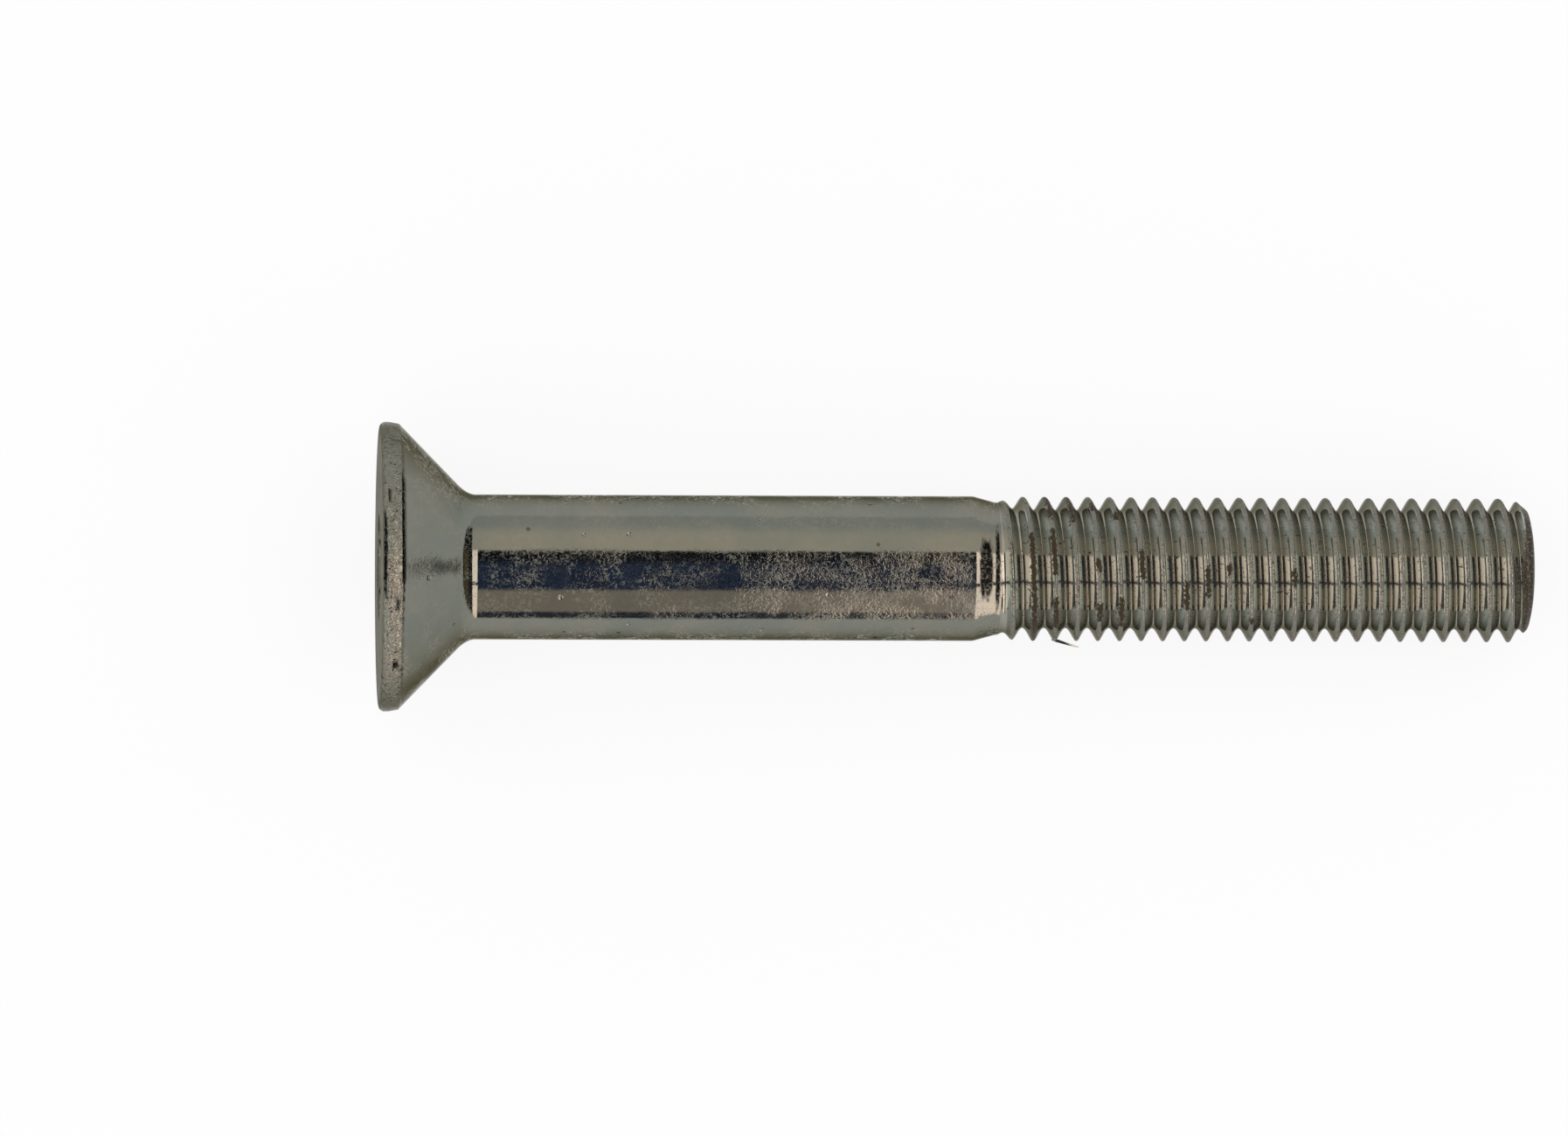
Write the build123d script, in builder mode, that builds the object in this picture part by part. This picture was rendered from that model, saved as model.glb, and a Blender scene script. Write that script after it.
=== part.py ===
from build123d import *
import math
import os

os.makedirs("parts", exist_ok=True)

# Countersunk socket screw, M10 x 80, forged in one piece with a rolled thread of 1.5 mm pitch.
# The thread has its real section, wound round the axis in flat facets.
# It lies at rest on its head's rim and on the last crest of the thread.
# Distances along the screw start at the face of the head.

# Plain shank, with the neck that leads down to the rolled blank
length = 80.0
threaded_length = 37.25
shank_diameter = 10.0
neck_diameter = 9.1
shoulder_length = 1.65
shoulder_rounding = 2.5

# Rolled thread, right-hand, with flats on its crest and in its root; shares are of the pitch
pitch = 1.5
thread_angle = 60.0
crest_diameter = 9.96
crest_flat_share = 0.14
thread_depth_share = 0.6
last_crest_at = 77.41
growth_length = 1.85
blank_step = 0.03
blank_overlap = 0.5
facets_a_turn = 28

# Countersunk head
head_diameter = 20.0
head_land = 1.33
head_cone_angle = 92.0
face_rim_rounding = 0.4
cone_rim_rounding = 0.25
under_head_fillet = 1.7

# Hexagon socket
socket_across_flats = 6.0
socket_depth = 4.3
socket_point_depth = 0.75
socket_point_flats = 0.5
socket_mouth_margin = 0.19
socket_mouth_angle = 120.0

# Rolled end, chamfered and slightly domed
tip_chamfer_length = 1.55
tip_dome_height = 0.42
tip_shoulder_step = 0.08
end_face_diameter = 5.7

# Radii, and the flat on the crest
head_radius = head_diameter / 2
shank_radius = shank_diameter / 2
neck_radius = neck_diameter / 2
crest_radius = crest_diameter / 2
crest_flat = crest_flat_share * pitch
root_radius = crest_radius - thread_depth_share * pitch
blank_radius = neck_radius - blank_step
tip_shoulder_radius = root_radius - tip_shoulder_step
end_face_radius = end_face_diameter / 2

# Stations along the screw
head_half_angle = math.radians(head_cone_angle / 2)
cone_end = head_land + (head_radius - shank_radius) / math.tan(head_half_angle)
neck_start = length - threaded_length
plain_shank_end = neck_start - shoulder_length
chamfer_start = length - tip_chamfer_length
dome_start = length - tip_dome_height
chamfer_slope = (crest_radius - tip_shoulder_radius) / (dome_start - chamfer_start)
thread_end = chamfer_start + (crest_radius - root_radius) / chamfer_slope

# Section of one turn of the thread: distance from the middle of its crest, and radius
flank_run = (crest_radius - root_radius) * math.tan(math.radians(thread_angle / 2))
root_start = crest_flat / 2 + flank_run
section = [
    (-crest_flat / 2, crest_radius),
    (crest_flat / 2, crest_radius),
    (root_start, root_radius),
    (pitch - root_start, root_radius),
]

# Turns wound before and after the last crest, as far as both ends of the thread
turns_before = math.ceil((last_crest_at - neck_start) / pitch) + 1
turns_after = math.ceil((thread_end - last_crest_at) / pitch) + 1
line_count = len(section) * (turns_before + turns_after)


def ridge_point(line, column):
    """Distance along and radius of a point on one of the lines wound through the section."""
    turn, corner = divmod(line, len(section))
    off_crest, line_radius = section[corner]
    turns = turn - turns_before + column / facets_a_turn
    at = min(max(last_crest_at + turns * pitch + off_crest, neck_start), thread_end)
    if at == thread_end:
        return at, root_radius
    missing = 1 - min((at - neck_start) / growth_length, 1)
    grown = blank_radius + (line_radius - blank_radius) * (1 - missing**2)
    return at, min(grown, crest_radius - (at - chamfer_start) * chamfer_slope)


# Points that can touch the ground: the rounded rim of the head and the crests below the axis
rim_centre_at = head_land - cone_rim_rounding * math.tan(head_half_angle / 2)
rim_centre_radius = head_radius - cone_rim_rounding
lowest_column = facets_a_turn * 3 // 4
dips = []
for line in range(line_count):
    crest_at, crest_reach = ridge_point(line, lowest_column)
    span = crest_at - rim_centre_at
    drop = rim_centre_radius - crest_reach
    dips.append(math.atan2(drop, span) + math.asin(cone_rim_rounding / math.hypot(span, drop)))

# Pose at rest: the axis dips towards the tip until the first crest meets the ground
dip = min(dips)
dip_cos = math.cos(dip)
dip_sin = math.sin(dip)
head_height = rim_centre_at * dip_sin + rim_centre_radius * dip_cos + cone_rim_rounding

# The middle of the screw's outline stands over the origin
face_reach = (head_radius - face_rim_rounding) * dip_sin + face_rim_rounding * (1 - dip_cos)
tip_reach = length * dip_cos + end_face_radius * dip_sin
head_x = (face_reach - tip_reach) / 2

# Axis and working planes
head_centre = Vector(head_x, 0, head_height)
along = Vector(dip_cos, 0, -dip_sin)
sideways = Vector(0, 1, 0)
screw_axis = Axis(head_centre, along)
profile_plane = Plane(origin=head_centre, x_dir=along, z_dir=-sideways)
face_plane = Plane(origin=head_centre, x_dir=sideways, z_dir=along)

# Outline from the face of the head to the neck, each corner with its rounding
outline = [
    ((0, 0), 0),
    ((0, head_radius), face_rim_rounding),
    ((head_land, head_radius), cone_rim_rounding),
    ((cone_end, shank_radius), under_head_fillet),
    ((plain_shank_end, shank_radius), shoulder_rounding),
    ((neck_start, neck_radius), 0),
    ((neck_start, 0), 0),
]
corners = [corner for corner, rounding in outline]
roundings = [rounding for corner, rounding in outline]


def on_screw(at, radius, column):
    """Point at a distance along the screw, at a radius, on one of the lines round it."""
    bearing = math.tau * column / facets_a_turn
    return profile_plane.from_local_coords(
        Vector(at, radius * math.sin(bearing), -radius * math.cos(bearing))
    )


def ring(at, radius):
    """Corners of a cross-section of the threaded end where it is no longer wound."""
    return [on_screw(at, radius, column) for column in range(facets_a_turn)]


def flat_face(*points):
    return Face(Wire.make_polygon(points, close=True))


def wound_faces():
    """Facets between neighbouring lines: flat crests and roots, and flanks of two triangles."""
    faces = []
    for line in range(line_count):
        for column in range(facets_a_turn):
            near, far = ridge_point(line, column), ridge_point(line + 1, column)
            near_next, far_next = ridge_point(line, column + 1), ridge_point(line + 1, column + 1)
            corners = [on_screw(*near, column), on_screw(*near_next, column + 1)]
            corners += [on_screw(*far_next, column + 1), on_screw(*far, column)]
            if near == far and near_next == far_next:
                continue
            if near == far:
                faces.append(flat_face(*corners[:3]))
            elif near_next == far_next:
                faces.append(flat_face(corners[0], *corners[2:]))
            elif near[1] == near_next[1] == far[1] == far_next[1]:
                faces.append(flat_face(*corners))
            else:
                faces.append(flat_face(*corners[:3]))
                faces.append(flat_face(corners[0], *corners[2:]))
    return faces


def banded_faces(first, second):
    """Flat faces between two rings."""
    after = range(1, facets_a_turn + 1)
    return [
        flat_face(first[k - 1], first[k % facets_a_turn], second[k % facets_a_turn], second[k - 1])
        for k in after
    ]


with BuildPart() as screw:
    # Forged head, shank and neck, one outline turned about the axis
    with BuildSketch(profile_plane):
        with BuildLine():
            FilletPolyline(*corners, radius=roundings, close=True)
        make_face()
    revolve(axis=screw_axis)

    # Hexagon socket with two flats level
    with BuildSketch(face_plane):
        RegularPolygon(socket_across_flats / 2, 6, major_radius=False)
    extrude(amount=socket_depth, mode=Mode.SUBTRACT)

    # Six-sided hollow left by the punch at the bottom of the socket
    point_run = (socket_across_flats - socket_point_flats) / 2
    point_taper = math.degrees(math.atan(point_run / socket_point_depth))
    with BuildSketch(face_plane.offset(socket_depth)):
        RegularPolygon(socket_across_flats / 2, 6, major_radius=False)
    extrude(amount=socket_point_depth, taper=point_taper, mode=Mode.SUBTRACT)

    # Chamfer round the socket's mouth, reaching past its corners
    mouth_radius = socket_across_flats / math.sqrt(3) + socket_mouth_margin
    mouth_depth = mouth_radius / math.tan(math.radians(socket_mouth_angle / 2))
    with BuildSketch(profile_plane):
        Polygon((0, 0), (0, mouth_radius), (mouth_depth, 0), align=None)
    revolve(axis=screw_axis, mode=Mode.SUBTRACT)

    # Threaded end, reaching a little way into the neck, with its chamfer and dome
    inner = ring(neck_start - blank_overlap, blank_radius)
    start = ring(neck_start, blank_radius)
    chamfer = ring(thread_end, root_radius)
    shoulder = ring(dome_start, tip_shoulder_radius)
    end_face = ring(length, end_face_radius)
    threaded_faces = [flat_face(*inner), flat_face(*end_face), *wound_faces()]
    threaded_faces += banded_faces(inner, start)
    threaded_faces += banded_faces(chamfer, shoulder)
    threaded_faces += banded_faces(shoulder, end_face)
    add(Solid(Shell(threaded_faces)), clean=False)

screw.part.label = "screw"
export_step(screw.part, "parts/screw.step")
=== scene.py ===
import math

import bmesh
import bpy
from mathutils import Matrix, Vector, noise


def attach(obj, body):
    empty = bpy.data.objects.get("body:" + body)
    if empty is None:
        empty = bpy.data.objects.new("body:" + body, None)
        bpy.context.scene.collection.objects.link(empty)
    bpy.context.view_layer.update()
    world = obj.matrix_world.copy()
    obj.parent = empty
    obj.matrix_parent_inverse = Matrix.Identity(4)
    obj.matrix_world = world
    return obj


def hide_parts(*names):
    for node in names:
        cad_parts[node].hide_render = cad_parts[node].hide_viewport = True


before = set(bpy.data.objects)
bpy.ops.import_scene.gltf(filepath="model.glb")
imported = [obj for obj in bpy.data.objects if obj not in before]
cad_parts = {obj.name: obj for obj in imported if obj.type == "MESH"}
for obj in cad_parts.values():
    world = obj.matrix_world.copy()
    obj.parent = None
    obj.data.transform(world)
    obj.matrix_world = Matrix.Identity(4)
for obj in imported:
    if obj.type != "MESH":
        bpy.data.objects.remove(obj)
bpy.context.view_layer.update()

MM = 0.001

# Pose of the screw at rest: its dip towards the tip in degrees, and the middle of its face
DIP = 3.72057
HEAD_CENTRE = (-39.69627, 0.0, 10.05887)

# Camera: lens, sensor and place in millimetres, near and far limit in metres, turn in degrees
LENS = 266.1
SENSOR_WIDTH = 36.0
CAMERA_LIMITS = (0.05, 20.0)
CAMERA_PLACE = (-11.83, 0.0, 807.5)
CAMERA_TURN = 0.2

# Sizes in millimetres, distances along the screw from the face of the head
LENGTH = 80.0
END_SET_BACK = 0.4
SHANK_RADIUS = 5.0
THREAD_START = 42.64
BLANK_RADIUS = 4.58
PITCH = 1.5
CREST_RADIUS = 4.98
CREST_AT = 77.41
MESH_END = LENGTH - END_SET_BACK

# Corners of the head and neck: distance along, radius and rounding
HEAD_RADIUS = 10.0
FACE_ROUNDING = 0.4
LAND_MIDDLE = (0.72, 9.975, 0.6)
LAND_EDGE = (1.33, 9.86, 0.2)
FILLET_CORNERS = ((5.773, 5.285, 2.4), (6.413, SHANK_RADIUS, 1.1))
SHANK_START = 8.0
NECK_CORNERS = ((40.98, SHANK_RADIUS, 1.2), (42.38, 4.615, 0.3))
NECK_FROM = 40.6

# Hexagon socket: across flats, depths of its walls and point, and its chamfered mouth
SOCKET_FLATS = 6.0
SOCKET_DEPTH = 4.3
SOCKET_POINT = 5.05
POINT_FLATS = 0.5
POINT_PARTS = (0.0, 0.25, 0.5, 0.75, 1.0)
MOUTH_RADIUS = 3.654
MOUTH_SLOPE = math.tan(math.radians(60))

# Points round the screw, the head twice as fine as the rest, and steps along its outline
COLUMNS = 120
HEAD_COLUMNS = 240
HEAD_ARC_STEPS = 10
NECK_ARC_STEPS = 6
HEAD_STEP = 0.45
SHANK_STEP = 2.0
NECK_STEP = 0.07

# Wear of the rim: where it lies, depth of its scale, and how fine that is round and along
WORN_FROM_RADIUS = 9.2
RIM_MIDDLE = 0.7
SCALE_DEPTH = 0.05
SCALE_ROUND = 9.0
SCALE_ALONG = 2.2

# Dents in the rim: bearing in degrees, distance along and depth
DENTS = ((27.0, 1.15, 0.14), (72.0, 0.2, 0.12), (214.0, 0.5, 0.09))
DENT_HALF_WIDTH = 0.45
DENT_HALF_LENGTH = 0.4

# End face: radius of its rim, parts of it with a ring of points, how far it sinks, and its waves
END_FACE_RADIUS = 3.3
END_FACE_PARTS = (1.0, 0.85, 0.65, 0.4, 0.15)
END_FACE_SINK = 0.045
END_FACE_LEVEL = 0.6
END_FACE_WAVES = 0.9

# Rolled thread: counts of the sheet that is wound, and sizes of its section, growth and tip
SHEET_COUNTS = {"Columns": COLUMNS, "Rows a turn": 20, "Turns": 27}
THREAD_SIZES = {
    "Pitch": PITCH,
    "Start": THREAD_START,
    "End": MESH_END,
    "Crest at": CREST_AT,
    "Turns past the last crest": 2.0,
    "Crest radius": CREST_RADIUS,
    "Root radius": 4.08,
    "Sharp crest radius": 5.1625,
    "Flank slope": math.tan(math.radians(60)),
    "Crest rounding": 0.22,
    "Root rounding": 0.42,
    "Blank radius": BLANK_RADIUS,
    "Growth length": 1.85,
    "Chamfer at": 78.45,
    "Chamfer radius": CREST_RADIUS,
    "Chamfer slope": 0.867,
    "Chamfer rounding": 0.12,
    "Shoulder at": 79.42,
    "Shoulder radius": 4.1,
    "Shoulder slope": 4.444,
    "Shoulder rounding": 0.25,
    "Weld distance": 0.0004,
}

# Brown dirt on the crests: turns before the last crest, and first and last bearing in degrees
CREST_DIRT = (
    (22, 60, 182), (21, 0, 46), (21, 56, 95), (21, 114, 147), (20, 2, 50), (19, 20, 37),
    (19, 82, 94), (19, 118, 137), (18, 36, 47), (18, 113, 144), (17, 75, 98), (15, 100, 124),
    (14, 87, 113), (13, 85, 92), (12, 133, 140), (10, 90, 103), (22, 230, 262), (20, 205, 250),
    (19, 268, 300), (17, 220, 236), (15, 284, 318), (12, 248, 262), (9, 300, 321), (6, 215, 226),
)

# Dirt on a crest: its reach, half width and shift in millimetres, and its fading ends in degrees
DIRT_REACH = 0.5
DIRT_HALF_WIDTH = 0.23
DIRT_SHIFT = 0.02
DIRT_FADE = 4

# Dark patches on the rim and neck, painted dark reflections on the neck and along the rim's front
# edge: distance along, sideways, half length along, half width sideways
DARK_REFLECTIONS_AND_MARKS = (
    (0.17, 0.90, 0.12, 2.90), (1.36, 2.60, 0.07, 3.60), (0.90, -6.70, 0.20, 0.30),
    (1.05, -2.60, 0.10, 0.35), (0.45, 4.9, 0.10, 0.5), (41.55, -0.05, 0.45, 1.95),
    (42.36, -0.10, 0.16, 2.70),
)

# Edge of a dark patch: its size, unevenness, waves and sharpness
DARK_PATCH_SIZE = 1.12
DARK_PATCH_UNEVENNESS = 0.30
DARK_PATCH_WAVES = (5, 4)
DARK_PATCH_SHARPNESS = 4

# Where dark patches are looked for: end and least radius of the rim, and both ends of the neck
PATCHED_RIM_END = 2.0
PATCHED_RIM_RADIUS = 9.0
PATCHED_NECK = (40.5, 43.0)

# Sliver torn off a crest: its line, half its width, how much it thins, and how flat it is
BURR_PATH = (
    (46.5, -4.80, 0.0), (46.8, -4.95, 0.05), (47.2, -5.08, 0.10),
    (47.6, -5.20, 0.13), (48.0, -5.31, 0.12), (48.35, -5.40, 0.08),
)
BURR_HALF_WIDTH = 0.14
BURR_TAPER = 0.75
BURR_FLATNESS = 0.6
BURR_SIDES = 8

# Joining of the meshes: distances that count as one point, and the angle of a sharp edge
WELD_DISTANCE = 0.0004
LEAST_EDGE = 0.00001
SHARP_ANGLE = 34


# ---------------------------------------------------------------- camera and small helpers


def in_metres(point):
    return tuple(value * MM for value in point)


def add_object(name, data):
    """A new object in the scene."""
    item = bpy.data.objects.new(name, data)
    bpy.context.scene.collection.objects.link(item)
    return item


def set_camera():
    """Long lens looking straight down, image up is +Y, turned a little as in the picture."""
    lens = bpy.data.cameras.new("camera")
    lens.sensor_width = SENSOR_WIDTH
    lens.lens = LENS
    lens.clip_start, lens.clip_end = CAMERA_LIMITS
    camera = add_object("camera", lens)
    camera.location = in_metres(CAMERA_PLACE)
    camera.rotation_euler = (0.0, 0.0, math.radians(CAMERA_TURN))
    bpy.context.scene.camera = camera


# ---------------------------------------------------------------- outline


def rounded(corners, steps):
    """Points of a line through the corners (u, r, rounding), each corner turned into an arc."""
    line = [corners[0][:2]]
    for before, corner, after in zip(corners, corners[1:], corners[2:]):
        point, radius = Vector(corner[:2]), corner[2]
        to_before = (Vector(before[:2]) - point).normalized()
        to_after = (Vector(after[:2]) - point).normalized()
        half = to_before.angle(to_after) / 2
        centre = point + (to_before + to_after).normalized() * radius / math.sin(half)
        reach = radius / math.tan(half)
        first = point + to_before * reach - centre
        last = point + to_after * reach - centre
        turn = first.angle_signed(last)
        for step in range(steps + 1):
            angle = -turn * step / steps
            cos, sin = math.cos(angle), math.sin(angle)
            line.append((
                centre.x + first.x * cos - first.y * sin,
                centre.y + first.x * sin + first.y * cos,
            ))
    line.append(corners[-1][:2])
    return line


def fill_long_steps(line, longest):
    """The same line with extra points where two neighbours stand far apart."""
    full = [line[0]]
    for start, end in zip(line, line[1:]):
        count = max(1, math.ceil(math.dist(start, end) / longest))
        for k in range(1, count):
            full.append((
                start[0] + (end[0] - start[0]) * k / count,
                start[1] + (end[1] - start[1]) * k / count,
            ))
        full.append(end)
    return full


def body_outline():
    """Outlines of the head and of the shank with its neck, up to the start of the thread."""
    head = rounded([
        (0.0, MOUTH_RADIUS),
        (0.0, HEAD_RADIUS, FACE_ROUNDING),
        LAND_MIDDLE,
        LAND_EDGE,
        *FILLET_CORNERS,
        (SHANK_START, SHANK_RADIUS),
    ], HEAD_ARC_STEPS)
    shank = rounded([
        (SHANK_START, SHANK_RADIUS),
        *NECK_CORNERS,
        (THREAD_START, BLANK_RADIUS),
    ], NECK_ARC_STEPS)
    plain = [point for point in shank if point[0] < NECK_FROM]
    neck = [point for point in shank if point[0] >= NECK_FROM]
    shank = fill_long_steps(plain, SHANK_STEP) + fill_long_steps(neck, NECK_STEP)
    return fill_long_steps(head, HEAD_STEP), shank


# ---------------------------------------------------------------- forged head, shank and socket


def held(value):
    """The value, held between 0 and 1."""
    return max(0.0, min(1.0, value))


def bearings(columns):
    """Bearings round the screw's axis, 0 at the side and a quarter turn at the top."""
    return [2 * math.pi * column / columns for column in range(columns)]


def round_axis(u, radius, bearing):
    """Point at a distance along the screw, at a radius and a bearing."""
    return (u, radius * math.cos(bearing), radius * math.sin(bearing))


def rim_wear(u, bearing):
    """How far the rim is worn in, in millimetres: a scaly trimmed edge and three small dents."""
    near_rim = max(0.0, 1.0 - abs(u - RIM_MIDDLE))
    place = Vector(round_axis(u * SCALE_ALONG, SCALE_ROUND, bearing)).yzx
    scale = noise.fractal(place, 1.0, 2.0, 3) * 0.5 + 0.5
    wear = SCALE_DEPTH * held(scale) * near_rim
    for dent_bearing, dent_at, dent_depth in DENTS:
        off = bearing - math.radians(dent_bearing)
        gap = math.atan2(math.sin(off), math.cos(off)) * HEAD_RADIUS
        far_along = (u - dent_at) / DENT_HALF_LENGTH
        wear += dent_depth * math.exp(-(gap / DENT_HALF_WIDTH) ** 2 - far_along ** 2)
    return wear


def plain_ring(u, radius, columns):
    return [round_axis(u, radius, bearing) for bearing in bearings(columns)]


def worn_ring(u, radius, columns):
    return [
        round_axis(u, radius - rim_wear(u, bearing), bearing) for bearing in bearings(columns)
    ]


def hexagon_ring(flats, depth=None):
    """Ring on a hexagon with corners at the sides, on the chamfer of the mouth without a depth."""
    sixth = math.pi / 3
    points = []
    for bearing in bearings(HEAD_COLUMNS):
        radius = flats / 2 / math.cos(bearing % sixth - sixth / 2)
        u = (MOUTH_RADIUS - radius) / MOUTH_SLOPE if depth is None else depth
        points.append(round_axis(u, radius, bearing))
    return points


def socket_rings():
    """Rings from the bottom of the socket up to its mouth: point, walls, mouth chamfer."""
    rings = []
    for part in POINT_PARTS:
        depth = SOCKET_POINT - (SOCKET_POINT - SOCKET_DEPTH) * part
        rings.append(hexagon_ring(POINT_FLATS + (SOCKET_FLATS - POINT_FLATS) * part, depth))
    rings.append(hexagon_ring(SOCKET_FLATS, SOCKET_DEPTH / 2))
    rings.append(hexagon_ring(SOCKET_FLATS))
    return rings


def end_face_rings():
    """Rings of the slightly uneven end face, from its rim to its middle."""
    rings = []
    for part in END_FACE_PARTS:
        ring = []
        for bearing in bearings(COLUMNS):
            u, side, up = round_axis(MESH_END, END_FACE_RADIUS * part, bearing)
            uneven = END_FACE_LEVEL + noise.noise(Vector((side, up, 3.0)) * END_FACE_WAVES)
            sunk = 0.0 if part == 1.0 else END_FACE_SINK * uneven
            ring.append((u - sunk, side, up))
        rings.append(ring)
    return rings


def bridge(shape, lower, upper):
    """Faces between two rings, of the same count or with the lower one twice as fine."""
    count = len(upper)
    for k in range(count):
        n = (k + 1) % count
        if len(lower) == count:
            shape.faces.new((lower[k], lower[n], upper[n], upper[k]))
            continue
        a, b, c = lower[2 * k], lower[2 * k + 1], lower[2 * n]
        shape.faces.new((a, b, upper[k]))
        shape.faces.new((b, upper[n], upper[k]))
        shape.faces.new((b, c, upper[n]))


def bridged(shape, rings):
    """Adds rings of points and the faces between them, and returns the rings."""
    rings = [[shape.verts.new(point) for point in ring] for ring in rings]
    for lower, upper in zip(rings, rings[1:]):
        bridge(shape, lower, upper)
    return rings


def finished(name, shape, finish):
    """The built shape as an object with its finish."""
    mesh = bpy.data.meshes.new(name)
    shape.to_mesh(mesh)
    shape.free()
    mesh.materials.append(finish)
    return add_object(name, mesh)


def forged_body(finish):
    """Head with its socket, shank, neck and end face, open where the thread comes between."""
    shape = bmesh.new()
    head, shank = body_outline()
    rings = socket_rings()
    for u, radius in head:
        ring = worn_ring if radius > WORN_FROM_RADIUS else plain_ring
        rings.append(ring(u, radius, HEAD_COLUMNS))
    rings += [plain_ring(u, radius, COLUMNS) for u, radius in shank[1:]]
    forged = bridged(shape, rings)
    shape.faces.new(reversed(forged[0]))
    end_face = bridged(shape, end_face_rings())
    shape.faces.new(end_face[-1])
    return finished("forged_body", shape, finish)


# ---------------------------------------------------------------- rolled thread


def calc(tree, operation, *values):
    """A Math node: each value is a number or the output of another node."""
    node = tree.nodes.new("ShaderNodeMath")
    node.operation = operation
    for socket, value in zip(node.inputs, values):
        if isinstance(value, bpy.types.NodeSocket):
            tree.links.new(value, socket)
        else:
            socket.default_value = value
    return node.outputs[0]


def thread_tree(finish):
    """Geometry Nodes: a sheet wound round the axis with the helix and raised by its profile."""
    tree = bpy.data.node_groups.new("rolled_thread", "GeometryNodeTree")
    face = tree.interface
    face.new_socket("Geometry", in_out="INPUT", socket_type="NodeSocketGeometry")
    for name in SHEET_COUNTS:
        face.new_socket(name, in_out="INPUT", socket_type="NodeSocketInt")
    for name in THREAD_SIZES:
        face.new_socket(name, in_out="INPUT", socket_type="NodeSocketFloat")
    face.new_socket("Geometry", in_out="OUTPUT", socket_type="NodeSocketGeometry")

    size = tree.nodes.new("NodeGroupInput").outputs
    link = tree.links.new

    def do(operation, *values):
        return calc(tree, operation, *values)

    # Flat sheet, 1 by 1 about its middle: a row for each step, a column for each bearing
    rows = do("MULTIPLY", size["Rows a turn"], size["Turns"])
    sheet = tree.nodes.new("GeometryNodeMeshGrid")
    sheet.inputs["Size X"].default_value = 1.0
    sheet.inputs["Size Y"].default_value = 1.0
    link(do("ADD", rows, 1.0), sheet.inputs["Vertices X"])
    link(do("ADD", size["Columns"], 1.0), sheet.inputs["Vertices Y"])
    parts = tree.nodes.new("ShaderNodeSeparateXYZ")
    link(tree.nodes.new("GeometryNodeInputPosition").outputs[0], parts.inputs[0])
    row = do("ROUND", do("MULTIPLY", do("ADD", parts.outputs["X"], 0.5), rows))
    column = do("ROUND", do("MULTIPLY", do("ADD", parts.outputs["Y"], 0.5), size["Columns"]))
    turned = do("DIVIDE", column, size["Columns"])

    # Distance along the screw, in step with the helix and held between its two ends
    steps = do("DIVIDE", row, size["Rows a turn"])
    turns_back = do("SUBTRACT", size["Turns"], size["Turns past the last crest"])
    wound = do("SUBTRACT", do("ADD", steps, turned), turns_back)
    raw = do("ADD", size["Crest at"], do("MULTIPLY", wound, size["Pitch"]))
    along = do("MINIMUM", do("MAXIMUM", raw, size["Start"]), size["End"])

    # Distance from the nearest crest, and the thread's section there
    turns_on = do("DIVIDE", do("SUBTRACT", along, size["Crest at"]), size["Pitch"])
    phase = do("SUBTRACT", turns_on, turned)
    off_crest = do("ABSOLUTE", do("SUBTRACT", phase, do("ROUND", phase)))
    distance = do("MULTIPLY", off_crest, size["Pitch"])
    fallen = do("MULTIPLY", distance, size["Flank slope"])
    flank = do("SUBTRACT", size["Sharp crest radius"], fallen)
    crest = do("SMOOTH_MIN", flank, size["Crest radius"], size["Crest rounding"])
    section = do("SMOOTH_MAX", crest, size["Root radius"], size["Root rounding"])

    # The thread grows out of the blank at the neck
    grown = do("DIVIDE", do("SUBTRACT", along, size["Start"]), size["Growth length"])
    missing = do("SUBTRACT", 1.0, do("MINIMUM", grown, 1.0))
    share = do("SUBTRACT", 1.0, do("MULTIPLY", missing, missing))
    raised = do("MULTIPLY", share, do("SUBTRACT", section, size["Blank radius"]))
    radius = do("ADD", size["Blank radius"], raised)

    # Chamfer and shoulder at the tip
    for cut in ("Chamfer", "Shoulder"):
        beyond = do("SUBTRACT", along, size[cut + " at"])
        fallen = do("MULTIPLY", beyond, size[cut + " slope"])
        left = do("SUBTRACT", size[cut + " radius"], fallen)
        radius = do("SMOOTH_MIN", radius, left, size[cut + " rounding"])

    bearing = do("MULTIPLY", turned, 2 * math.pi)
    spot = tree.nodes.new("ShaderNodeCombineXYZ")
    link(along, spot.inputs["X"])
    link(do("MULTIPLY", radius, do("COSINE", bearing)), spot.inputs["Y"])
    link(do("MULTIPLY", radius, do("SINE", bearing)), spot.inputs["Z"])

    # Height on the ridge, 0 in the root and 1 on the crest, for the finish
    depth = do("SUBTRACT", size["Crest radius"], size["Root radius"])
    height = do("DIVIDE", do("SUBTRACT", section, size["Root radius"]), depth)
    store = tree.nodes.new("GeometryNodeStoreNamedAttribute")
    store.data_type, store.domain = "FLOAT", "POINT"
    store.inputs["Name"].default_value = "ridge"
    link(sheet.outputs["Mesh"], store.inputs["Geometry"])
    link(height, store.inputs["Value"])

    move = tree.nodes.new("GeometryNodeSetPosition")
    link(store.outputs["Geometry"], move.inputs["Geometry"])
    link(spot.outputs[0], move.inputs["Position"])
    weld = tree.nodes.new("GeometryNodeMergeByDistance")
    link(size["Weld distance"], weld.inputs["Distance"])
    link(move.outputs["Geometry"], weld.inputs["Geometry"])
    real = tree.nodes.new("GeometryNodeRealizeInstances")
    link(weld.outputs["Geometry"], real.inputs["Geometry"])
    coat = tree.nodes.new("GeometryNodeSetMaterial")
    coat.inputs["Material"].default_value = finish
    link(real.outputs["Geometry"], coat.inputs["Geometry"])
    result = tree.nodes.new("NodeGroupOutput")
    link(coat.outputs["Geometry"], result.inputs["Geometry"])
    return tree


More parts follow.
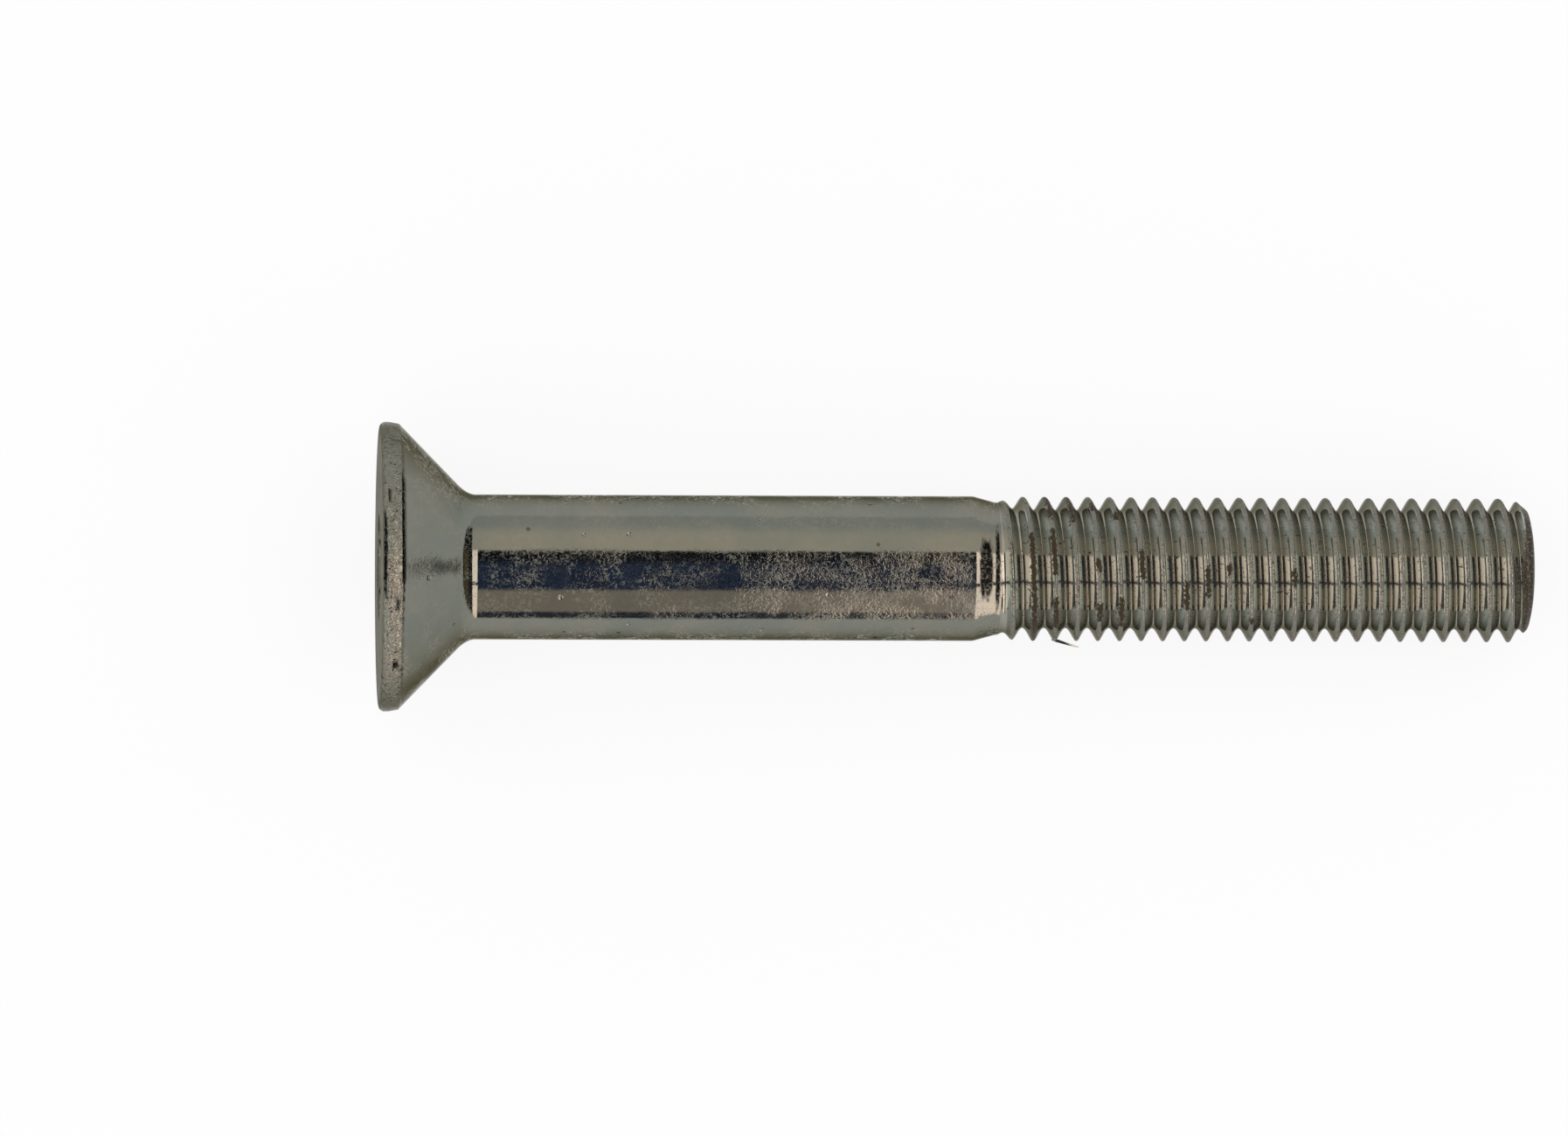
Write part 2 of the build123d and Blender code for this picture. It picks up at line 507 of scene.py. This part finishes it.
def rolled_thread(finish):
    """The evaluated thread as a plain mesh object."""
    holder = add_object("thread_holder", bpy.data.meshes.new("thread_holder"))
    winding = holder.modifiers.new("rolled_thread", "NODES")
    winding.node_group = thread_tree(finish)
    values = {**SHEET_COUNTS, **THREAD_SIZES}
    for item in winding.node_group.interface.items_tree:
        if item.in_out == "INPUT" and item.name in values:
            winding[item.identifier] = values[item.name]
    graph = bpy.context.evaluated_depsgraph_get()
    mesh = bpy.data.meshes.new_from_object(holder.evaluated_get(graph))
    holder.modifiers.remove(winding)
    bpy.data.objects.remove(holder)
    return add_object("rolled_thread", mesh)


# ---------------------------------------------------------------- screw


def dirt_at(u, side, up):
    """Share of brown dirt at a point of the thread, 0 to 1."""
    bearing = math.degrees(math.atan2(up, side)) % 360
    back = (CREST_AT - u) / PITCH + bearing / 360
    most = 0.0
    for turn, first, last in CREST_DIRT:
        off = (back - turn) * PITCH
        if abs(off) < DIRT_REACH:
            ends = held(0.5 + min(bearing - first, last - bearing) / DIRT_FADE)
            most = max(most, ends * math.exp(-((off + DIRT_SHIFT) / DIRT_HALF_WIDTH) ** 2))
    return most


def dark_patch_at(u, side, up):
    """Share of dark patch at a point of the rim or neck, 0 to 1, on the upper side only: painted
    dark reflection on the neck and along the rim's front edge.
    """
    if up <= 0:
        return 0.0
    waves = Vector((u * DARK_PATCH_WAVES[0], side * DARK_PATCH_WAVES[1], 1.0))
    uneven = DARK_PATCH_UNEVENNESS * noise.noise(waves)
    most = 0.0
    for at, across, half_length, half_width in DARK_REFLECTIONS_AND_MARKS:
        cubes = abs((u - at) / half_length) ** 3 + abs((side - across) / half_width) ** 3
        most = max(most, held((DARK_PATCH_SIZE + uneven - cubes ** (1 / 3)) * DARK_PATCH_SHARPNESS))
    return most


def burr(finish):
    """A thin sliver of metal that curls off one crest, as a closed tapered wire."""
    path = [Vector(point) for point in BURR_PATH]
    rings = []
    for step, point in enumerate(path):
        reach = BURR_HALF_WIDTH * (1.0 - BURR_TAPER * step / (len(path) - 1))
        before, after = path[max(step - 1, 0)], path[min(step + 1, len(path) - 1)]
        along = (after - before).normalized()
        side = along.cross(Vector((0.0, 0.0, 1.0))).normalized()
        up = side.cross(along)
        rings.append([
            point + side * math.cos(angle) * reach + up * math.sin(angle) * reach * BURR_FLATNESS
            for angle in bearings(BURR_SIDES)
        ])
    shape = bmesh.new()
    rings = bridged(shape, rings)
    shape.faces.new(rings[0])
    shape.faces.new(reversed(rings[-1]))
    return finished("burr", shape, finish)


def mark_dirt_and_dark_patches(mesh):
    """Stores the dirt and the dark patches, partly painted dark reflections, on the mesh while it
    still lies along its own axis.
    """
    dirt = mesh.attributes.new("dirt", "FLOAT", "POINT")
    dark_reflection_and_mark = mesh.attributes.new("dark_reflection_and_mark", "FLOAT", "POINT")
    for vertex in mesh.vertices:
        u, side, up = vertex.co
        if THREAD_START < u < LENGTH:
            dirt.data[vertex.index].value = dirt_at(u, side, up)
        on_rim = u < PATCHED_RIM_END and math.hypot(side, up) > PATCHED_RIM_RADIUS
        if on_rim or PATCHED_NECK[0] < u < PATCHED_NECK[1]:
            dark_reflection_and_mark.data[vertex.index].value = dark_patch_at(u, side, up)


def lay_down(mesh):
    """Puts a mesh drawn in millimetres along the screw's own axis where the screw lies."""
    turn = Matrix.Rotation(math.radians(DIP), 4, "Y")
    place = Matrix.Translation(Vector(HEAD_CENTRE) * MM)
    mesh.transform(place @ turn @ Matrix.Scale(MM, 4))


def make_screw(plate, thread_plate):
    """Head, shank and thread welded into one closed mesh with its normals outwards."""
    body = forged_body(plate)
    pieces = [body, rolled_thread(thread_plate), burr(thread_plate)]
    with bpy.context.temp_override(
        active_object=body, object=body, selected_objects=pieces, selected_editable_objects=pieces
    ):
        bpy.ops.object.join()
    shape = bmesh.new()
    shape.from_mesh(body.data)
    bmesh.ops.remove_doubles(shape, verts=shape.verts, dist=WELD_DISTANCE)
    bmesh.ops.dissolve_degenerate(shape, dist=LEAST_EDGE, edges=shape.edges)
    bmesh.ops.recalc_face_normals(shape, faces=shape.faces)
    if shape.calc_volume(signed=True) < 0:
        bmesh.ops.reverse_faces(shape, faces=shape.faces)
    shape.to_mesh(body.data)
    shape.free()
    body.name = "screw_plated"
    body.data.name = "screw_plated"
    body.data.shade_smooth()
    body.data.set_sharp_from_angle(angle=math.radians(SHARP_ANGLE))
    mark_dirt_and_dark_patches(body.data)
    lay_down(body.data)
    return body


# ---------------------------------------------------------------- nodes of a finish

# Scattered dots: distance between them in dots, and the soft edge of a dot and of the choice
DOT_SPACING = 4.5
DOT_EDGE = (0.10, 0.16)
CHOICE_EDGE = 0.02


def node_of(tree, kind, **settings):
    node = tree.nodes.new(kind)
    for name, value in settings.items():
        setattr(node, name, value)
    return node


def feed(tree, node, **values):
    """Sets or links a node's inputs by name, with spaces written as underscores."""
    for name, value in values.items():
        socket = node.inputs[name.replace("_", " ")]
        if isinstance(value, bpy.types.NodeSocket):
            tree.links.new(value, socket)
        else:
            socket.default_value = value
    return node


def own_coordinates(tree):
    """Object coordinates turned into the screw's own axis: X runs from the head to the tip."""
    turn = node_of(tree, "ShaderNodeMapping", vector_type="TEXTURE")
    feed(tree, turn, Vector=node_of(tree, "ShaderNodeTexCoord").outputs["Object"],
         Location=in_metres(HEAD_CENTRE), Rotation=(0.0, math.radians(DIP), 0.0))
    return turn.outputs[0]


def axes(tree, place):
    """The three parts of a place."""
    parts = node_of(tree, "ShaderNodeSeparateXYZ")
    tree.links.new(place, parts.inputs[0])
    return parts.outputs


def mottle(tree, place, size_mm, detail=3.0, rough=0.55, warp=0.0):
    """Noise with features of about that size, 0 to 1."""
    node = node_of(tree, "ShaderNodeTexNoise")
    feed(tree, node, Vector=place, Scale=1.0 / (size_mm * MM), Detail=detail, Roughness=rough,
         Distortion=warp)
    return node.outputs[0]


def stretch(tree, value, low, high, to_low=0.0, to_high=1.0, kind="SMOOTHSTEP"):
    """The value's range from low to high, turned into the range from to_low to to_high."""
    node = node_of(tree, "ShaderNodeMapRange", interpolation_type=kind)
    feed(tree, node, Value=value, From_Min=low, From_Max=high, To_Min=to_low, To_Max=to_high)
    return node.outputs[0]


def falling(tree, value, low, high):
    """1 below the low value, 0 above the high one."""
    return stretch(tree, value, low, high, 1.0, 0.0)


def times(tree, *values):
    product = values[0]
    for value in values[1:]:
        product = calc(tree, "MULTIPLY", product, value)
    return product


def added(tree, *values):
    total = values[0]
    for value in values[1:]:
        total = calc(tree, "ADD", total, value)
    return total


def greatest(tree, *values):
    most = values[0]
    for value in values[1:]:
        most = calc(tree, "MAXIMUM", most, value)
    return most


def rest_of(tree, share):
    """What is left of 1."""
    return calc(tree, "SUBTRACT", 1.0, share)


def mixed(tree, share, first, second):
    """Colour mix: first where share is 0, second where it is 1."""
    node = node_of(tree, "ShaderNodeMix", data_type="RGBA")
    tree.links.new(share, node.inputs[0])
    for index, value in ((6, first), (7, second)):
        if isinstance(value, bpy.types.NodeSocket):
            tree.links.new(value, node.inputs[index])
        else:
            node.inputs[index].default_value = (*value, 1.0)
    return node.outputs[2]


def specks(tree, place, size_mm, amount):
    """Small scattered dots, 1 inside a dot."""
    cells = node_of(tree, "ShaderNodeTexVoronoi", feature="F1")
    feed(tree, cells, Vector=place, Scale=1.0 / (size_mm * DOT_SPACING * MM), Randomness=1.0)
    dot = falling(tree, cells.outputs["Distance"], *DOT_EDGE)
    pick = node_of(tree, "ShaderNodeSeparateColor")
    tree.links.new(cells.outputs["Color"], pick.inputs[0])
    return times(tree, dot, falling(tree, pick.outputs[0], amount, amount + CHOICE_EDGE))


def attribute(tree, name):
    return node_of(tree, "ShaderNodeAttribute", attribute_name=name).outputs["Fac"]


def raise_bumps(tree, shader, height, distance_mm):
    """Shows the height as bumps of that many millimetres."""
    bump = node_of(tree, "ShaderNodeBump")
    feed(tree, bump, Strength=1.0, Distance=distance_mm * MM, Height=height)
    tree.links.new(bump.outputs[0], shader.inputs["Normal"])


def new_finish(name):
    material = bpy.data.materials.new(name)
    material.use_nodes = True
    return material, material.node_tree, material.node_tree.nodes["Principled BSDF"]


# ---------------------------------------------------------------- finishes

# Plated steel seen at a low angle stays dull instead of turning white
LOW_ANGLE_TINT = (0.30, 0.285, 0.24, 1.0)

# Tones of the plate on the head and shank, and of what lies on it
COOL_PLATE = (0.186, 0.198, 0.172)
WARM_PLATE = (0.226, 0.222, 0.184)
GREY_MOTTLE = (0.165, 0.172, 0.158)
DARK_SPECK = (0.06, 0.046, 0.038)
MATT_PLATE = (0.20, 0.193, 0.162)
BURNT_SPECK = (0.035, 0.028, 0.022)
# Dark patches: painted dark reflections on the neck and along the rim's front edge
DARK_PATCH_TONE = (0.006, 0.006, 0.006)
SOCKET_DIRT = (0.022, 0.019, 0.015)
BROWN_FILM = (0.050, 0.041, 0.030)

# Tones of the thread
COOL_THREAD = (0.190, 0.202, 0.176)
PALE_ROOT = (0.30, 0.295, 0.255)
# Flank tones paler than the plate: painted light standing in for light passed between the flanks
COOL_LIT_FLANK = (0.465, 0.490, 0.460)
WARM_LIT_FLANK = (0.485, 0.498, 0.464)
# Painted shade on the flanks towards the screw's sides
SHADED_SIDE_FLANK = (0.300, 0.310, 0.275)
WORN_CREST = (0.175, 0.150, 0.130)
CREST_DIRT_TONE = (0.038, 0.025, 0.011)
TIP_SOIL = (0.034, 0.028, 0.018)
TIP_GRIT = (0.20, 0.168, 0.135)


def socket_dirt(tree, parts, across):
    """Thin lines of dirt round the socket's mouth, on its six edges and round its bottom."""
    along = parts["X"]
    mouth = times(tree, stretch(tree, across, 3.56 * MM, 3.63 * MM),
                  falling(tree, across, 3.66 * MM, 3.72 * MM),
                  falling(tree, along, 0.10 * MM, 0.20 * MM))
    bottom = times(tree, stretch(tree, along, 4.10 * MM, 4.25 * MM),
                   falling(tree, along, 4.34 * MM, 4.42 * MM),
                   falling(tree, across, 3.60 * MM, 3.70 * MM))
    flats = 0.0
    for bearing in (30, 90, 150):
        turn = math.radians(bearing)
        reach = added(tree, times(tree, parts["Y"], math.cos(turn)),
                      times(tree, parts["Z"], math.sin(turn)))
        flats = calc(tree, "MAXIMUM", calc(tree, "ABSOLUTE", reach), flats)
    edge = times(tree, stretch(tree, flats, 2.93 * MM, 2.97 * MM),
                 falling(tree, flats, 3.04 * MM, 3.09 * MM),
                 falling(tree, along, 0.42 * MM, 0.55 * MM))
    return times(tree, greatest(tree, mouth, edge, bottom), 0.75)


def zinc_plate():
    """Dull zinc plate on the head and shank: cloudy tone, fine mottle, few dark specks."""
    material, tree, shader = new_finish("zinc plate on the shank and head")
    shader.inputs["Specular Tint"].default_value = LOW_ANGLE_TINT
    place = own_coordinates(tree)
    parts = axes(tree, place)
    along = parts["X"]
    across = calc(tree, "SQRT", added(
        tree, calc(tree, "POWER", parts["Y"], 2.0), calc(tree, "POWER", parts["Z"], 2.0)))

    # Where the plate is scaly: on the rim, and the rough face of the head
    on_rim = times(tree, falling(tree, along, 1.25 * MM, 1.55 * MM),
                   stretch(tree, across, 9.0 * MM, 9.3 * MM))
    on_face = falling(tree, along, 0.05 * MM, 0.15 * MM)

    # Cloudy tone with a fine mottle and dark specks
    cloud = stretch(tree, mottle(tree, place, 4.5, detail=2.0), 0.3, 0.7)
    tone = mixed(tree, cloud, COOL_PLATE, WARM_PLATE)
    fine = stretch(tree, mottle(tree, place, 0.5, detail=4.0, rough=0.65), 0.25, 0.75)
    tone = mixed(tree, times(tree, fine, 0.35), tone, GREY_MOTTLE)
    spots = specks(tree, place, 0.28, amount=0.10)
    tone = mixed(tree, times(tree, spots, 0.75), tone, DARK_SPECK)

    # Curly patches where the plate has gone matt
    crystals = mottle(tree, place, 0.24, warp=1.2)
    patch = stretch(tree, mottle(tree, place, 2.2, detail=2.0), 0.40, 0.60, 0.10, 1.0)
    matt = times(tree, stretch(tree, crystals, 0.49, 0.61), patch, 0.8)
    matt = times(tree, matt, rest_of(tree, times(tree, on_rim, 0.6)))
    tone = mixed(tree, matt, tone, MATT_PLATE)

    # Burnt specks on the rim, and the dark patches, painted dark reflections on the neck and along
    # the rim's front edge
    burnt = stretch(tree, mottle(tree, place, 0.22, rough=0.6, warp=1.0), 0.58, 0.66)
    tone = mixed(tree, times(tree, burnt, on_rim), tone, BURNT_SPECK)
    dark_reflection_and_mark = attribute(tree, "dark_reflection_and_mark")
    darkened = times(tree, dark_reflection_and_mark, stretch(tree, crystals, 0.52, 0.66, 1.0, 0.45))
    tone = mixed(tree, darkened, tone, DARK_PATCH_TONE)
    tone = mixed(tree, socket_dirt(tree, parts, across), tone, SOCKET_DIRT)

    # Brown film on the end of the screw, thinner towards its middle
    uneven = added(tree, across, times(tree, crystals, 1.5 * MM))
    soil = stretch(tree, uneven, 1.6 * MM, 3.6 * MM, 0.25, 1.0)
    soil = times(tree, soil, stretch(tree, along, 78.9 * MM, 79.2 * MM))
    tone = mixed(tree, soil, tone, BROWN_FILM)
    tree.links.new(tone, shader.inputs["Base Color"])

    # Less shine on matt patches, and a rougher face and dark patches
    shining = rest_of(tree, times(tree, matt, 0.85))
    tree.links.new(shining, shader.inputs["Metallic"])
    gloss = mottle(tree, place, 1.2, detail=4.0, rough=0.6)
    gloss = stretch(tree, gloss, 0.25, 0.75, 0.05, 0.09, "LINEAR")
    gloss = added(tree, gloss, times(tree, on_face, 0.35), times(tree, dark_reflection_and_mark, 0.35))
    tree.links.new(gloss, shader.inputs["Roughness"])

    # Orange-peel waves, finer crystals, pits, and the scaly rim
    rough_patch = stretch(tree, mottle(tree, place, 3.2, detail=2.0), 0.38, 0.62, 0.20, 1.0)
    waves = mottle(tree, place, 0.75, detail=2.0, rough=0.5, warp=0.4)
    height = added(tree, times(tree, crystals, rough_patch, 0.6), times(tree, waves, 0.3))
    pits = times(tree, specks(tree, place, 0.34, amount=0.14), 3.0)
    height = calc(tree, "SUBTRACT", height, pits)
    scale = times(tree, mottle(tree, place, 0.30, rough=0.6, warp=0.8), on_rim, 11.0)
    raise_bumps(tree, shader, added(tree, height, scale), distance_mm=0.014)
    return material


def thread_finish():
    """Zinc plate on the rolled thread: flanks paler from painted light and darker at the sides
    from painted shade, worn crests with brown dirt, soiled tip.
    """
    material, tree, shader = new_finish("zinc plate on the thread")
    shader.inputs["Specular Tint"].default_value = LOW_ANGLE_TINT
    shader.inputs["Specular IOR Level"].default_value = 0.15
    place = own_coordinates(tree)
    parts = axes(tree, place)
    sideways = calc(tree, "ABSOLUTE", parts["Y"])
    ridge = attribute(tree, "ridge")
    cloud = stretch(tree, mottle(tree, place, 3.0, detail=2.0), 0.3, 0.7)
    grain = mottle(tree, place, 0.16, rough=0.6)

    # Flanks get a paler tone, painted light for the light passed between them, with painted shade
    # towards the screw's sides; the root is a little paler, the crest and the run-out as dull as
    # the shank
    past_run_out = stretch(tree, parts["X"], 43.2 * MM, 44.0 * MM)
    flank = times(tree, stretch(tree, ridge, 0.10, 0.42), falling(tree, ridge, 0.84, 0.95),
                  past_run_out)
    plain = mixed(tree, cloud, COOL_THREAD, WARM_PLATE)
    plain = mixed(tree, falling(tree, ridge, 0.40, 0.60), plain, PALE_ROOT)
    flank_light_and_shade = mixed(tree, cloud, COOL_LIT_FLANK, WARM_LIT_FLANK)
    # Painted shade: flanks darker towards the screw's sides
    flank_light_and_shade = mixed(tree, stretch(tree, sideways, 3.6 * MM, 4.1 * MM), flank_light_and_shade, SHADED_SIDE_FLANK)
    tone = mixed(tree, flank, plain, flank_light_and_shade)

    # Worn and dirty crests
    on_crest = stretch(tree, ridge, 0.86, 0.97)
    worn = times(tree, on_crest, stretch(tree, grain, 0.40, 0.58))
    tone = mixed(tree, times(tree, worn, 0.85), tone, WORN_CREST)
    ragged = stretch(tree, mottle(tree, place, 0.22), 0.3, 0.7, -0.60, 0.60, "LINEAR")
    dirt = stretch(tree, added(tree, attribute(tree, "dirt"), ragged), 0.35, 0.60)
    tone = mixed(tree, times(tree, dirt, 0.95), tone, CREST_DIRT_TONE)
    # Dark patches at the neck, painted dark reflection
    tone = mixed(tree, attribute(tree, "dark_reflection_and_mark"), tone, DARK_PATCH_TONE)

    # Dirty chamfer and end, dark brown with paler specks
    tip = calc(tree, "SUBTRACT", parts["X"], times(tree, sideways, 0.078))
    tip = added(tree, tip, times(tree, calc(tree, "SUBTRACT", grain, 0.5), 0.5 * MM))
    at_tip = stretch(tree, tip, 78.55 * MM, 78.75 * MM)
    soil = mixed(tree, stretch(tree, grain, 0.52, 0.66), TIP_SOIL, TIP_GRIT)
    tone = mixed(tree, times(tree, at_tip, 0.95), tone, soil)
    tree.links.new(tone, shader.inputs["Base Color"])

    # Dull where it is worn or dirty
    dull = greatest(tree, times(tree, worn, 0.8), dirt, times(tree, at_tip, 0.75))
    shining = stretch(tree, dull, 0.0, 1.0, 0.95, 0.05, "LINEAR")
    tree.links.new(shining, shader.inputs["Metallic"])
    rough = stretch(tree, dull, 0.0, 1.0, 0.09, 0.50, "LINEAR")
    tree.links.new(rough, shader.inputs["Roughness"])

    # Fine lines left round the thread by the rolling dies, over a light grain
    squeezed = node_of(tree, "ShaderNodeMapping", vector_type="POINT")
    feed(tree, squeezed, Vector=place, Scale=(1.0, 0.03, 0.03))
    lines = mottle(tree, squeezed.outputs[0], 0.07, detail=2.0)
    height = added(tree, times(tree, grain, 0.6), times(tree, lines, 0.8),
                   times(tree, grain, on_crest, 6.0), times(tree, grain, at_tip, 20.0))
    raise_bumps(tree, shader, height, distance_mm=0.0015)
    return material


# ---------------------------------------------------------------- studio

WHITE = (1.0, 1.0, 1.0, 1.0)

# Floor: half its width in metres, its colour, and how much of it is lit from below
FLOOR_REACH = 4.0
FLOOR_TONE = (0.95, 0.95, 0.945, 1.0)
FLOOR_GLOW = 0.86

# Light of the tent cloth and of the opening in it, and how far the opening reaches
CLOTH = (0.77, 0.79, 0.79)
WARM_CLOTH = (1.08, 1.00, 0.88)
OPENING = (0.015, 0.017, 0.028)
BLUE_OPENING = (0.030, 0.042, 0.095)
BLUE_STREAKS = (0.10, 0.16, 0.33)
LOW_OPENING = (0.60, 0.505, 0.45)
LOW_EDGE = (0.06, 0.07, 0.11)
OPENING_BOTTOM = -0.976
OPENING_TOP = 0.2345

# Light of the panels, the rod before them, and the gap beyond
RIGHT_PANEL = (3.15, 2.6, 2.35)
LEFT_PANEL = (1.75, 1.72, 1.55)
ROD = (0.03, 0.035, 0.04)
BEYOND = (0.035, 0.035, 0.035)
BROWN_BEYOND = (0.22, 0.165, 0.10)


def pale_floor():
    """Plain pale floor, large and matt, a little lit from below so that it stays white."""
    far = FLOOR_REACH
    mesh = bpy.data.meshes.new("floor")
    corners = [(-far, -far, 0), (far, -far, 0), (far, far, 0), (-far, far, 0)]
    mesh.from_pydata(corners, [], [(0, 1, 2, 3)])
    floor = add_object("floor", mesh)
    material, tree, shader = new_finish("pale floor")
    shader.inputs["Base Color"].default_value = FLOOR_TONE
    shader.inputs["Roughness"].default_value = 0.9
    shader.inputs["Specular IOR Level"].default_value = 0.1
    glow = node_of(tree, "ShaderNodeEmission")
    glow.inputs["Color"].default_value = WHITE
    path = node_of(tree, "ShaderNodeLightPath").outputs
    seen = greatest(tree, path["Is Camera Ray"], path["Is Glossy Ray"],
                    path["Is Transmission Ray"])
    lit = node_of(tree, "ShaderNodeMixShader")
    tree.links.new(times(tree, seen, FLOOR_GLOW), lit.inputs[0])
    tree.links.new(shader.outputs[0], lit.inputs[1])
    tree.links.new(glow.outputs[0], lit.inputs[2])
    output = next(node for node in tree.nodes if node.type == "OUTPUT_MATERIAL")
    tree.links.new(lit.outputs[0], output.inputs["Surface"])
    mesh.materials.append(material)


def studio_surroundings():
    """A pale light tent with a dark opening overhead and a bright panel beside it."""
    world = bpy.data.worlds.new("studio")
    bpy.context.scene.world = world
    world.use_nodes = True
    world.cycles.sampling_method = "NONE"
    tree = world.node_tree
    tree.nodes.clear()
    link = tree.links.new

    # Direction as two slopes: across from left to right, upward from bottom to top of the picture
    direction = axes(tree, node_of(tree, "ShaderNodeTexCoord").outputs["Generated"])
    rise = calc(tree, "MAXIMUM", added(tree, direction["Z"], 1.0), 0.03)
    across = calc(tree, "DIVIDE", direction["X"], rise)
    upward = calc(tree, "DIVIDE", direction["Y"], rise)

    def between(value, low, high, soft):
        return times(tree, stretch(tree, value, low - soft, low + soft),
                     falling(tree, value, high - soft, high + soft))

    # Tent cloth, warmer beside the opening
    colour = mixed(tree, between(upward, 0.10, 0.60, 0.14), CLOTH, WARM_CLOTH)

    # Dark opening with its three tones
    opening = between(upward, OPENING_BOTTOM, OPENING_TOP, 0.012)
    blue = between(upward, -0.36, 0.06, 0.06)
    streaks = greatest(tree, between(across, 0.0605, 0.0665, 0.002),
                       times(tree, between(across, 0.0495, 0.0560, 0.002), 0.6))
    dark = mixed(tree, blue, OPENING, BLUE_OPENING)
    dark = mixed(tree, times(tree, streaks, blue), dark, BLUE_STREAKS)
    dark = mixed(tree, between(upward, -0.78, -0.33, 0.03), dark, LOW_OPENING)
    dark = mixed(tree, between(upward, -0.99, -0.80, 0.02), dark, LOW_EDGE)

    # Panels left and right of the opening, split by a thin rod
    right = between(across, 0.103, 0.47, 0.006)
    left = between(across, -0.9, -0.25, 0.04)
    dark = mixed(tree, right, dark, RIGHT_PANEL)
    dark = mixed(tree, left, dark, LEFT_PANEL)
    before_panels = greatest(tree, right, left)
    rod = times(tree, before_panels, between(upward, -0.262, -0.208, 0.008))
    dark = mixed(tree, rod, dark, ROD)
    colour = mixed(tree, opening, colour, dark)

    # Dark gap beyond the right panel, brown in its middle
    beyond = times(tree, between(across, 0.49, 0.98, 0.025),
                   between(upward, OPENING_BOTTOM, 0.66, 0.06))
    brown = times(tree, between(across, 0.66, 0.92, 0.05), between(upward, -0.85, 0.25, 0.10))
    colour = mixed(tree, beyond, colour, mixed(tree, brown, BEYOND, BROWN_BEYOND))

    # Gloss shows the tent, all else is lit by plain white
    seen = node_of(tree, "ShaderNodeBackground")
    link(colour, seen.inputs["Color"])
    plain = node_of(tree, "ShaderNodeBackground")
    plain.inputs["Color"].default_value = WHITE
    choose = node_of(tree, "ShaderNodeMixShader")
    link(node_of(tree, "ShaderNodeLightPath").outputs["Is Glossy Ray"], choose.inputs[0])
    link(plain.outputs[0], choose.inputs[1])
    link(seen.outputs[0], choose.inputs[2])
    output = node_of(tree, "ShaderNodeOutputWorld")
    link(choose.outputs[0], output.inputs["Surface"])


# ---------------------------------------------------------------- scene

set_camera()
screw = make_screw(zinc_plate(), thread_finish())
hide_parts("screw")
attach(screw, "root")

pale_floor()
studio_surroundings()
bpy.context.scene.view_settings.view_transform = "Standard"
